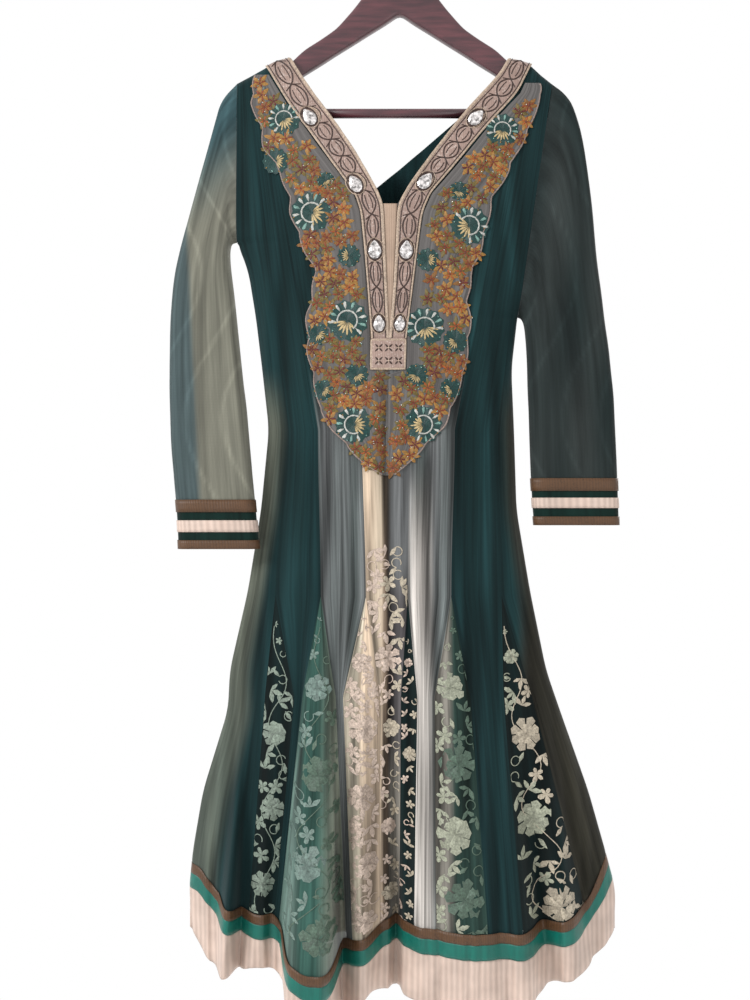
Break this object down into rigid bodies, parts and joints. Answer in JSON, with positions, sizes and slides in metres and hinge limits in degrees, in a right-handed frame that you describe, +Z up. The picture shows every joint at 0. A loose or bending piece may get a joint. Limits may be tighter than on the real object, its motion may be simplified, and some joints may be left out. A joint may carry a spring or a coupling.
{
  "type": "anarkali kurta on a wooden hanger",
  "caption": "Long-sleeved net anarkali kurta with an embroidered bib, banded V neck, floral godets and a silk-bordered flared hem, hung on a wooden hanger.",
  "frame": {"origin": "the inside top of the hanger's hook, where it rests on a rail", "axes": "+Z up; -Y is the front of the dress; +X is to the right of somebody who faces the dress"},
  "size_m": [0.5693, 0.2283, 1.3758],
  "materials": {
    "wood": "dark reddish-brown satin varnish",
    "hook_steel": "polished steel wire",
    "green_net": "dark green net over a dark slip",
    "grey_net": "grey sheer net",
    "beige_net": "beige sheer net",
    "olive_net": "olive-brown sheer net",
    "vine_net": "dark net with cream floral embroidery",
    "lining": "dark smooth slip cloth",
    "bib_net": "net with gold, rust and teal embroidery and sequins",
    "scroll_band": "pinkish-gold band with dark scrolled cords",
    "beige_silk": "plain beige silk",
    "cream_silk": "cream silk, pleated at the hem",
    "brocade": "woven brown and copper brocade",
    "teal_satin": "teal satin",
    "crystal": "clear faceted pear stones"
  },
  "bodies": {
    "root": {"hanger_arms": "wood", "hanger_bar": "wood", "hanger_hook": "hook_steel", "front_side_left": "green_net", "godet_front_1": "vine_net", "front_panel_left": "green_net", "godet_front_2": "vine_net", "front_centre_left": "grey_net", "godet_front_3": "vine_net", "front_centre": "beige_net", "godet_front_4": "vine_net", "front_centre_right": "grey_net", "godet_front_5": "vine_net", "front_panel_right": "green_net", "godet_front_6": "vine_net", "front_side_right": "olive_net", "back_side_left": "green_net", "godet_back_1": "vine_net", "back_panel_left": "green_net", "godet_back_2": "vine_net", "back_centre": "green_net", "godet_back_3": "vine_net", "back_panel_right": "green_net", "godet_back_4": "vine_net", "back_side_right": "green_net", "lining": "lining", "bib_left": "bib_net", "bib_right": "bib_net", "neck_band_left": "scroll_band", "neck_band_right": "scroll_band", "neck_band_end": "scroll_band", "placket_insert": "beige_silk", "crystal_left_1": "crystal", "crystal_left_2": "crystal", "crystal_left_3": "crystal", "crystal_left_4": "crystal", "crystal_right_1": "crystal", "crystal_right_2": "crystal", "crystal_right_3": "crystal", "crystal_right_4": "crystal", "sleeve_left_upper": "green_net", "sleeve_left_lower": "green_net", "sleeve_right_upper": "green_net", "sleeve_right_lower": "green_net", "cuff_left_top": "brocade", "cuff_left_silk": "cream_silk", "cuff_left_end": "brocade", "cuff_right_top": "brocade", "cuff_right_silk": "cream_silk", "cuff_right_end": "brocade", "hem_brown_front": "brocade", "hem_brown_back": "brocade", "hem_teal_front": "teal_satin", "hem_teal_back": "teal_satin", "hem_silk_front": "cream_silk", "hem_silk_back": "cream_silk"}
  },
  "joints": []
}
